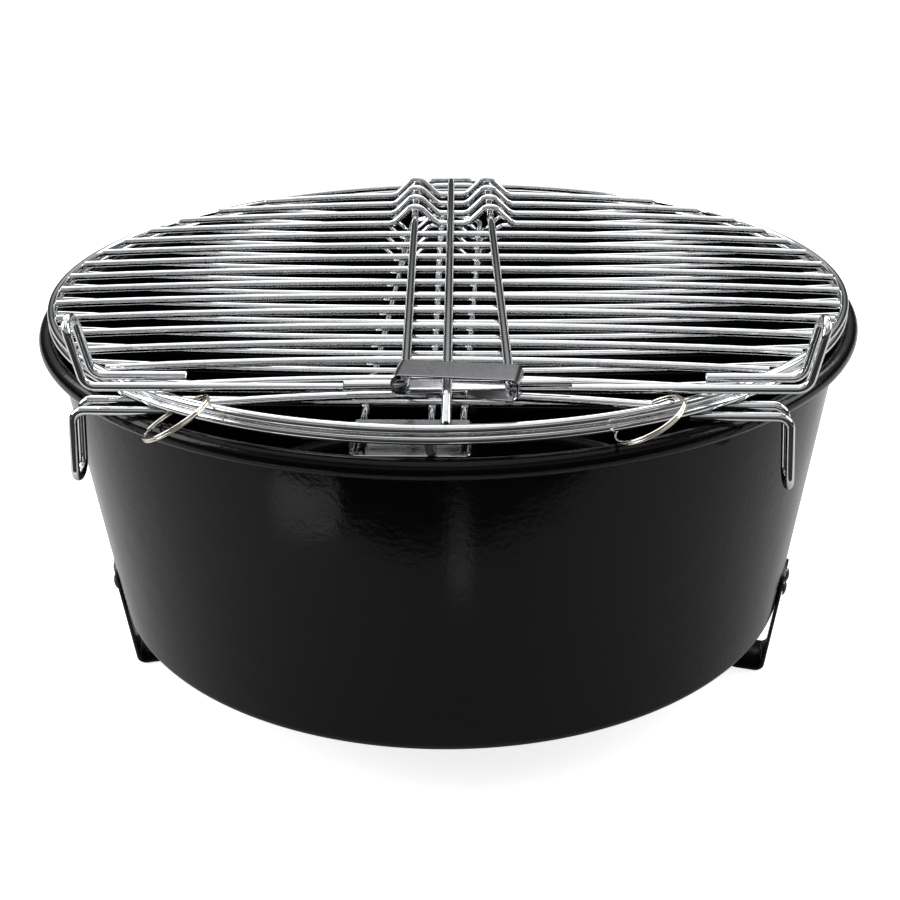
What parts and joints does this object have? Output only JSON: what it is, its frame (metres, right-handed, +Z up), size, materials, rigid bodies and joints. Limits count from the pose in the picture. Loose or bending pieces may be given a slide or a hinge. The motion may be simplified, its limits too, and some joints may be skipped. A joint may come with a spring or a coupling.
{
  "type": "fire pit with grate",
  "caption": "Round enamelled sheet fire bowl on short legs, with a hinged double wire cooking grid on its rim, sliding wire handles and fold-up wire stands",
  "frame": {"origin": "on the ground under the middle of the bowl", "axes": "+Z up, front of the object (sleeves and split rings) towards -Y, +X to the right seen from the front"},
  "size_m": [0.386, 0.386, 0.2204],
  "materials": {
    "black_enamel": "glossy black enamel",
    "leg_black": "semi-gloss black",
    "rivet_black": "semi-gloss black over steel",
    "chrome_wire": "bright chrome-plated wire",
    "sleeve_chrome": "chrome-plated sheet, slightly dulled",
    "nickel_ring": "bright nickel-plated spring wire"
  },
  "bodies": {
    "bowl": {"fire_bowl": "black_enamel", "leg_left": "leg_black", "leg_right": "leg_black", "leg_rear": "leg_black", "rivet_left_a": "rivet_black", "rivet_left_b": "rivet_black", "rivet_right_a": "rivet_black", "rivet_right_b": "rivet_black", "rivet_rear_a": "rivet_black", "rivet_rear_b": "rivet_black"},
    "lower_half": {"lower_ring": "chrome_wire", "lower_bar_01": "chrome_wire", "lower_bar_02": "chrome_wire", "lower_bar_03": "chrome_wire", "lower_bar_04": "chrome_wire", "lower_bar_05": "chrome_wire", "lower_bar_06": "chrome_wire", "lower_bar_07": "chrome_wire", "lower_bar_08": "chrome_wire", "lower_bar_09": "chrome_wire", "lower_bar_10": "chrome_wire", "lower_bar_11": "chrome_wire", "lower_bar_12": "chrome_wire", "lower_bar_13": "chrome_wire", "lower_bar_14": "chrome_wire", "lower_stand": "chrome_wire", "lower_rod": "chrome_wire"},
    "upper_half": {"upper_ring": "chrome_wire", "upper_bar_01": "chrome_wire", "upper_bar_02": "chrome_wire", "upper_bar_03": "chrome_wire", "upper_bar_04": "chrome_wire", "upper_bar_05": "chrome_wire", "upper_bar_06": "chrome_wire", "upper_bar_07": "chrome_wire", "upper_bar_08": "chrome_wire", "upper_bar_09": "chrome_wire", "upper_bar_10": "chrome_wire", "upper_bar_11": "chrome_wire", "upper_bar_12": "chrome_wire", "upper_bar_13": "chrome_wire", "upper_bar_14": "chrome_wire", "upper_bar_15": "chrome_wire", "upper_bar_16": "chrome_wire", "upper_stand": "chrome_wire", "upper_rod": "chrome_wire"},
    "upper_slide": {"upper_handle": "chrome_wire", "upper_sleeve": "sleeve_chrome"},
    "lower_slide": {"lower_handle": "chrome_wire", "lower_sleeve": "sleeve_chrome"},
    "left_link": {"split_ring_left": "nickel_ring"},
    "right_link": {"split_ring_right": "nickel_ring"}
  },
  "joints": [
    {"name": "grid_lift", "type": "slide", "parent": "bowl", "child": "lower_half", "axis": [0, 0, 1], "range_m": [0, 0.2]},
    {"name": "grid_open", "type": "hinge", "parent": "lower_half", "child": "upper_half", "pos_m": [0, -0.18868, 0.18723], "axis": [1, 0, 0], "range_deg": [0, 35]},
    {"name": "upper_handle_slide", "type": "slide", "parent": "upper_half", "child": "upper_slide", "axis": [-0.0471, 0.9988, -0.0156], "range_m": [0, 0.225]},
    {"name": "lower_handle_slide", "type": "slide", "parent": "lower_half", "child": "lower_slide", "axis": [0, 0.9999, -0.0156], "range_m": [0, 0.013]},
    {"name": "left_ring_swing", "type": "hinge", "parent": "lower_half", "child": "left_link", "pos_m": [-0.09662, -0.15963, 0.18765], "axis": [0.9019, 0.2213, -0.3709], "range_deg": [-69, 0]},
    {"name": "right_ring_swing", "type": "hinge", "parent": "lower_half", "child": "right_link", "pos_m": [0.07122, -0.17253, 0.18369], "axis": [0.3404, 0.9402, 0.0101], "range_deg": [-50, 0]}
  ],
  "couplings": [
    {"joint": "left_ring_swing", "follows": "grid_open", "ratio": -1.967},
    {"joint": "right_ring_swing", "follows": "grid_open", "ratio": -1.421}
  ]
}
